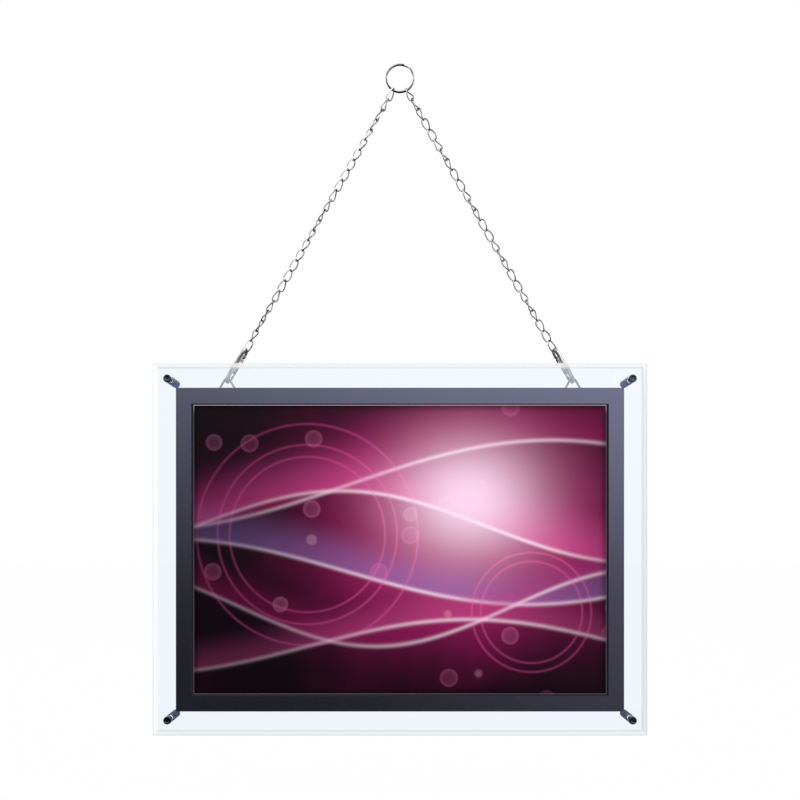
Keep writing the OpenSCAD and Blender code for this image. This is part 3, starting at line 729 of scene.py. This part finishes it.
def finish_piece(mesh, name, material, body, nodes, turning=None, angle=SMOOTH_ANGLE):
    """Turns a bmesh into a piece that rides on a body and stands for the CAD nodes.

    Turning lists a point on each axis of a lathe-turned piece.
    """
    if turning is not None:
        measure_turning(mesh, turning)
    for face in mesh.faces:
        face.smooth = True
    data = bpy.data.meshes.new(name)
    mesh.to_mesh(data)
    mesh.free()
    data.set_sharp_from_angle(angle=angle)
    data.materials.append(material)
    piece = bpy.data.objects.new(name, data)
    bpy.context.scene.collection.objects.link(piece)
    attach(piece, body)
    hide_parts(*nodes)
    return piece


def round_edges(piece, width):
    """Bevel that breaks the piece's sharp edges."""
    bevel = piece.modifiers.new("broken edges", "BEVEL")
    bevel.width = width
    bevel.segments = 2
    bevel.limit_method = "ANGLE"
    bevel.angle_limit = SMOOTH_ANGLE
    weighted = piece.modifiers.new("flat faces", "WEIGHTED_NORMAL")
    weighted.keep_sharp = True


def rounded_wire(node, name, material, body, swell, levels):
    """A bent wire from its CAD solid: quads, swelled to its true girth and subdivided."""
    mesh = merged_copy(node)
    flat = math.radians(60)
    bmesh.ops.join_triangles(
        mesh, faces=mesh.faces, angle_face_threshold=flat, angle_shape_threshold=flat,
    )
    mesh.normal_update()
    for vert in mesh.verts:
        vert.co += vert.normal * swell
    piece = finish_piece(mesh, name, material, body, (node,))
    piece.data.attributes.remove(piece.data.attributes["sharp_edge"])
    smooth = piece.modifiers.new("round wire", "SUBSURF")
    smooth.levels = levels
    smooth.render_levels = levels


def lathe(outline, middle, steps):
    """Spins an outline of (radius, depth) points about an axis along Y."""
    mesh = bmesh.new()
    verts = [mesh.verts.new((middle.x + radius, depth, middle.z)) for radius, depth in outline]
    edges = [mesh.edges.new(pair) for pair in zip(verts, verts[1:])]
    bmesh.ops.spin(
        mesh, geom=verts + edges, cent=(middle.x, 0, middle.z), axis=(0, 1, 0),
        angle=FULL_TURN, steps=steps, use_merge=True,
    )
    bmesh.ops.remove_doubles(mesh, verts=mesh.verts, dist=POLE_GAP)
    bmesh.ops.recalc_face_normals(mesh, faces=mesh.faces)
    return mesh


def loop_across(mesh, middle, radius, depth, corners):
    """A closed loop of LOOP_EDGES edges across Y: a circle, or a polygon of fewer corners."""
    turn = Matrix.Translation((middle.x, depth, middle.z)) @ Matrix.Rotation(math.radians(90), 4, "X")
    made = bmesh.ops.create_circle(mesh, segments=corners, radius=radius, matrix=turn)
    edges = [edge for vert in made["verts"] for edge in vert.link_edges]
    cuts = LOOP_EDGES // corners - 1
    if cuts:
        cut = bmesh.ops.subdivide_edges(mesh, edges=list(dict.fromkeys(edges)), cuts=cuts)
        parts = cut["geom_inner"] + cut["geom_split"]
        edges = [part for part in parts if isinstance(part, bmesh.types.BMEdge)]
    return list(dict.fromkeys(edges))


def socket_screws(node, material, body):
    """Button-head screws with hexagon sockets in place of a group of plain ones."""
    mesh = bmesh.new()
    shank = 1.5 * MM
    for low, high in islands(node):
        middle = (low + high) / 2
        head = (high.x - low.x) / 2
        rise = 0.8 * head
        seat = high.y - rise
        profile = (
            (shank, low.y, LOOP_EDGES),
            (shank, seat, LOOP_EDGES),
            (head, seat, LOOP_EDGES),
            (head, seat + 0.45 * rise, LOOP_EDGES),
            (0.93 * head, seat + 0.75 * rise, LOOP_EDGES),
            (0.74 * head, high.y, LOOP_EDGES),
            (0.52 * head, high.y, 6),
            (0.50 * head, high.y - 0.6 * rise, 6),
        )
        loops = [loop_across(mesh, middle, *row) for row in profile]
        for first, second in zip(loops, loops[1:]):
            bmesh.ops.bridge_loops(mesh, edges=first + second)
        bmesh.ops.holes_fill(mesh, edges=loops[0] + loops[-1], sides=LOOP_EDGES)
    bmesh.ops.recalc_face_normals(mesh, faces=mesh.faces)
    finish_piece(mesh, node + "_socketed", material, body, (node,))


# Operators

class LIGHTBOX_OT_stage(bpy.types.Operator):
    """Floor, soft studio light, white surround and the camera"""

    bl_idname = "lightbox.stage"
    bl_label = "Stage"

    def execute(self, context):
        scene = context.scene
        scene.view_settings.view_transform = "Standard"
        self.camera(scene)
        self.floor(scene)
        self.world(scene)
        self.lamps(scene)
        return {"FINISHED"}

    def camera(self, scene):
        lens = bpy.data.cameras.new("camera")
        lens.lens = sizes().lens
        lens.sensor_width = 36.0
        lens.shift_y = sizes().view_shift
        lens.clip_start = 0.01
        lens.dof.use_dof = False
        eye = bpy.data.objects.new("camera", lens)
        eye.location = (0.0, FRAME_FRONT - sizes().view_distance, WINDOW_MIDDLE.z + sizes().view_rise)
        eye.rotation_euler = (math.radians(90), 0.0, 0.0)
        scene.collection.objects.link(eye)
        scene.camera = eye

    @staticmethod
    def ray_kinds(shade):
        """Camera, glossy and transmission rays: each value is 1 for rays of its own kind."""
        path = shade.node("ShaderNodeLightPath")
        kinds = ("Camera", "Glossy", "Transmission")
        return [Value(shade, path.outputs["Is " + kind + " Ray"]) for kind in kinds]

    def floor(self, scene):
        mesh = bmesh.new()
        bmesh.ops.create_grid(mesh, x_segments=2, y_segments=2, size=6.0)
        low = CAD_BOX[0][2] - sizes().floor_gap
        bmesh.ops.translate(mesh, verts=mesh.verts, vec=(0, 0, low))
        data = bpy.data.meshes.new("floor")
        mesh.to_mesh(data)
        mesh.free()
        shade = Shade("pale floor")
        place = shade.place()
        grain = shade.noise(place, 40.0)
        matt = shade.node("ShaderNodeBsdfDiffuse", None, {
            "Color": shade.mix(grain, (0.78, 0.78, 0.79), (0.82, 0.82, 0.82)),
        })
        # Metal mirrors a floor that is darker to the left
        camera, glossy, through = self.ray_kinds(shade)
        side = shade.axes(place)[0].step(-0.25, 0.75)
        sheen = shade.mix(side, (0.12, 0.12, 0.12), (0.79, 0.76, 0.77))
        glow = shade.mix(glossy * (1 - through), WHITE, sheen)
        white = shade.node("ShaderNodeEmission", None, {"Color": glow, "Strength": 1.0})
        # A small share of the matt floor keeps the object's shadow
        seen = (camera + glossy + through).math("MINIMUM", 1.0)
        both = shade.node("ShaderNodeMixShader", None, {
            0: seen * 0.985, 1: matt.outputs[0], 2: white.outputs[0],
        })
        shade.node("ShaderNodeOutputMaterial", None, {"Surface": both.outputs[0]})
        data.materials.append(shade.owner)
        ground = bpy.data.objects.new("floor", data)
        scene.collection.objects.link(ground)

    def world(self, scene):
        shade = Shade("white surround", "worlds")
        camera, glossy, through = self.ray_kinds(shade)
        across, facing, up = shade.axes(shade.node("ShaderNodeTexCoord").outputs["Generated"])
        # In front of the object, the sky that metal mirrors is brighter upward and to the right
        climb = (up * 4.7 + across * 1.6).math("EXPONENT") * 0.25
        front = shade.mix(climb.math("MINIMUM", 0.82), BLACK, (4.0, 4.0, 4.1))
        room = shade.mix(facing.step(-0.25, 0.20), front, WHITE)
        shown = shade.mix(glossy, (0.62, 0.63, 0.66), room)
        clear = (camera + through).math("MINIMUM", 1.0)
        shown = shade.mix(clear, shown, WHITE)
        light = shade.node("ShaderNodeBackground", None, {"Color": shown, "Strength": 1.0})
        shade.node("ShaderNodeOutputWorld", None, {"Surface": light.outputs[0]})
        scene.world = shade.owner

    def lamps(self, scene):
        middle = WINDOW_MIDDLE.z
        target = Vector((0.0, 0.0, middle + 0.12))
        # Each lamp: name, place, width, height and power in watts
        rows = (
            ("upper softbox", (0.30, -0.95, middle + 0.95), 1.0, 0.55, 5.0),
            ("left fill", (-1.30, -0.70, middle + 0.30), 0.6, 1.2, 3.0),
            ("rear wash", (0.0, 1.20, middle + 0.90), 1.2, 0.8, 6.0),
        )
        for name, spot, wide, tall, power in rows:
            lamp = bpy.data.lights.new(name, "AREA")
            lamp.shape = "RECTANGLE"
            lamp.size = wide
            lamp.size_y = tall
            lamp.energy = power
            lamp.color = (0.92, 0.94, 1.0)
            holder = bpy.data.objects.new(name, lamp)
            holder.location = spot
            aim = target - Vector(spot)
            holder.rotation_euler = aim.to_track_quat("-Z", "Y").to_euler()
            scene.collection.objects.link(holder)


class LIGHTBOX_OT_suspension(bpy.types.Operator):
    """Split ring, chain legs, snap hooks with gates and triangle rings"""

    bl_idname = "lightbox.suspension"
    bl_label = "Suspension"

    def execute(self, context):
        nickel = bright_nickel("plated steel")
        ring_levels = sizes().wire_levels
        link_levels = sizes().link_levels
        rounded_wire("split_ring", "split_ring_coiled", nickel, "ring", 0.0, ring_levels)
        # How much painted highlight each leg's left side takes
        for side, side_light_share in (("left", 0.9), ("right", 0.3)):
            chain = "chain_" + side
            triangle = "triangle_" + side
            leg = self.slant(chain)
            links = bright_nickel("plated links, " + side, leg=leg, lit_side_share=side_light_share)
            polished = bright_nickel("plated hook, " + side, shine=2.9, leg=leg, drawn=True)
            rounded_wire(chain, "chain_links_" + side, links, "hanger", 0.11 * MM, link_levels)
            rounded_wire(
                triangle, "triangle_wire_" + side, nickel, "hanger", 0.03 * MM, ring_levels - 1,
            )
            for node, body in (("hook_" + side, "hanger"), ("gate_" + side, "gate_" + side)):
                mesh = merged_copy(node)
                finish_piece(mesh, node + "_polished", polished, body, (node,))
            dress("gate_pin_" + side, nickel)
        return {"FINISHED"}

    @staticmethod
    def slant(node):
        """Slant of a chain's leg from the vertical, positive to the viewer's right."""
        low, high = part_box(node)
        away = (low + high) / 2
        return math.atan2(away.x, -away.z)


class LIGHTBOX_OT_standoffs(bpy.types.Operator):
    """Turned caps, barrels and soft washers of the four standoffs"""

    bl_idname = "lightbox.standoffs"
    bl_label = "Standoffs"

    def execute(self, context):
        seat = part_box("clear_sheet")[0].y
        dark = turned_metal(
            "dark turned steel", look("cap_colour"), 0.10, 0.22 * MM, 0.10,
            # Painted light: behind the seat the caps are painted near white
            shank=(seat - 0.3 * MM, look("stud_painted_light")),
        )
        # The barrels' tone is painted: darker on top, paler underneath
        blue = turned_metal(
            "blued steel", look("barrel_colour"), 0.45, 0.30 * MM, 0.15,
            underside=look("barrel_painted_underlight"), metallic=0.0, specular=0.12,
        )
        axes = []
        for node in CAP_NODES:
            low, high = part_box(node)
            middle = (low + high) / 2
            axes.append(middle)
            mesh = lathe(self.cap_outline(low, high), middle, sizes().cap_steps)
            finish_piece(mesh, node + "_turned", dark, node, (node,), [middle])
        barrels = finish_piece(
            merged_copy("standoff_barrels"), "standoff_barrels_turned", blue, "panel",
            ("standoff_barrels",), axes,
        )
        round_edges(barrels, sizes().edge_break)
        dress("standoff_washers", moulded("soft washer", (0.80, 0.83, 0.86), 0.35, 1500.0, 0.05))
        return {"FINISHED"}

    @staticmethod
    def cap_outline(low, high):
        """Dished face, rounded rim, straight side and the stud, as (radius, depth) points."""
        radius = (high.x - low.x) / 2
        front = low.y
        back = front + 5.0 * MM
        stud = 2.5 * MM
        edge = sizes().cap_edge
        dish = sizes().cap_dish
        points = [
            (0.0, front + 0.55 * MM),
            (0.6 * dish, front + 0.55 * MM),
            (0.85 * dish, front + 0.42 * MM),
            (dish, front + 0.06 * MM),
            (dish + 0.2 * MM, front),
        ]
        for i in range(7):
            turn = math.radians(15 * i)
            points.append((radius - edge + edge * math.sin(turn), front + edge - edge * math.cos(turn)))
        points += [
            (radius, back - 0.3 * MM),
            (radius - 0.3 * MM, back),
            (stud, back),
            (stud, high.y - 0.4 * MM),
            (stud - 0.4 * MM, high.y),
            (0.0, high.y),
        ]
        return points


class LIGHTBOX_OT_sheet(bpy.types.Operator):
    """Clear bevelled sheet"""

    bl_idname = "lightbox.sheet"
    bl_label = "Clear sheet"

    def execute(self, context):
        finish_piece(
            merged_copy("clear_sheet"), "clear_sheet_polished", clear_acrylic(), "panel",
            ("clear_sheet",), angle=PLATE_ANGLE,
        )
        return {"FINISHED"}


class LIGHTBOX_OT_front(bpy.types.Operator):
    """Satin frame and the lit print"""

    bl_idname = "lightbox.front"
    bl_label = "Front"

    def execute(self, context):
        dress("border_frame", satin_frame())
        dress("print", lit_print())
        return {"FINISHED"}


class LIGHTBOX_OT_engine(bpy.types.Operator):
    """Rails, back plate and the edge-lit stack inside"""

    bl_idname = "lightbox.engine"
    bl_label = "Light engine"

    def execute(self, context):
        grey = (0.62, 0.63, 0.65)
        along_x = brushed("rail aluminium, long", grey, 0.30, (8.0, 2200.0, 2200.0))
        along_z = brushed("rail aluminium, short", grey, 0.30, (2200.0, 2200.0, 8.0))
        for node in ("top_rail", "bottom_rail", "back_plate"):
            self.set_back(node, along_x)
        for node in ("left_rail", "right_rail"):
            self.set_back(node, along_z)
        steel = brushed("zinc steel, plain", (0.50, 0.51, 0.54), 0.32, (900.0, 900.0, 900.0))
        for node in ("corner_keys", "keeper_strips", "frame_magnets"):
            dress(node, steel)
        dress("reflector", moulded("white film", (0.90, 0.90, 0.90), 0.55, 1200.0, 0.04))
        dress("light_guide", guide_plastic())
        dress("diffuser", lit_opal())
        board = moulded("white board", (0.84, 0.84, 0.79), 0.40, 700.0, 0.06)
        lamp = glowing_lamp()
        for end in ("top", "bottom"):
            dress("led_board_" + end, board)
            dress("leds_" + end, lamp)
        wire = moulded("red insulation", (0.42, 0.02, 0.02), 0.35, 2500.0, 0.05)
        dress("link_wires", wire)
        dress("feed_wires", wire)
        return {"FINISHED"}

    @staticmethod
    def set_back(node, material):
        """A copy of a piece with its rear face clear of the sheet, through which it shows."""
        mesh = merged_copy(node)
        rear = max(vert.co.y for vert in mesh.verts)
        for vert in mesh.verts:
            if vert.co.y > rear - 0.05 * MM:
                vert.co.y -= sizes().sheet_relief
        finish_piece(
            mesh, node + "_brushed", material, "panel", (node,),
            angle=PLATE_ANGLE,
        )


class LIGHTBOX_OT_back(bpy.types.Operator):
    """Hang rail, brackets, screws and the power inlet behind the sheet"""

    bl_idname = "lightbox.back"
    bl_label = "Back"

    def execute(self, context):
        bar = brushed("hang rail aluminium", (0.60, 0.61, 0.63), 0.28, (8.0, 2000.0, 2000.0))
        zinc = brushed("zinc steel", (0.52, 0.53, 0.56), 0.26, (700.0, 700.0, 700.0))
        black = moulded("black plastic", (0.016, 0.016, 0.018), 0.42, 1400.0, 0.25)
        edge_break = sizes().edge_break
        rail = self.panel_piece("hang_rail", "_brushed", bar, "plain_aluminium")
        round_edges(rail, edge_break)
        for node in ("bracket_left", "bracket_right"):
            strap = self.panel_piece(node, "_rolled", zinc, "zinc_steel")
            round_edges(strap, 0.5 * edge_break)
        for node in ("rail_screws", "sheet_screws", "bracket_screws", "inlet_screws"):
            socket_screws(node, zinc, "panel")
        box = self.panel_piece("inlet_housing", "_moulded", black, "black_plastic")
        round_edges(box, 1.2 * edge_break)
        self.panel_piece("dc_jack", "_turned", black, "black_plastic")
        return {"FINISHED"}

    @staticmethod
    def panel_piece(node, ending, material, slot):
        """A copy of a CAD node that rides on the panel."""
        return finish_piece(merged_copy(node), node + ending, material, "panel", (node,))


class LIGHTBOX_PT_pieces(bpy.types.Panel):
    """Lists the steps that dress the light box"""

    bl_label = "Light Box"
    bl_idname = "LIGHTBOX_PT_pieces"
    bl_space_type = "VIEW_3D"
    bl_region_type = "UI"
    bl_category = "Light Box"

    def draw(self, context):
        for step in STEPS:
            self.layout.operator(step.bl_idname)
        for group in (sizes(), looks()):
            column = self.layout.column()
            for name in group.bl_rna.properties.keys():
                if name not in ("rna_type", "name"):
                    column.prop(group, name)


STEPS = (
    LIGHTBOX_OT_stage,
    LIGHTBOX_OT_suspension,
    LIGHTBOX_OT_standoffs,
    LIGHTBOX_OT_sheet,
    LIGHTBOX_OT_front,
    LIGHTBOX_OT_engine,
    LIGHTBOX_OT_back,
)
CLASSES = (LightBoxSizes, LightBoxLooks) + STEPS + (LIGHTBOX_PT_pieces,)


def register():
    for item in CLASSES:
        bpy.utils.register_class(item)
    bpy.types.Scene.light_box_sizes = PointerProperty(type=LightBoxSizes)
    bpy.types.Scene.light_box_looks = PointerProperty(type=LightBoxLooks)


def unregister():
    del bpy.types.Scene.light_box_looks
    del bpy.types.Scene.light_box_sizes
    for item in reversed(CLASSES):
        bpy.utils.unregister_class(item)


def main():
    register()
    for step in STEPS:
        group, name = step.bl_idname.split(".")
        getattr(getattr(bpy.ops, group), name)()


if __name__ == "__main__":
    main()
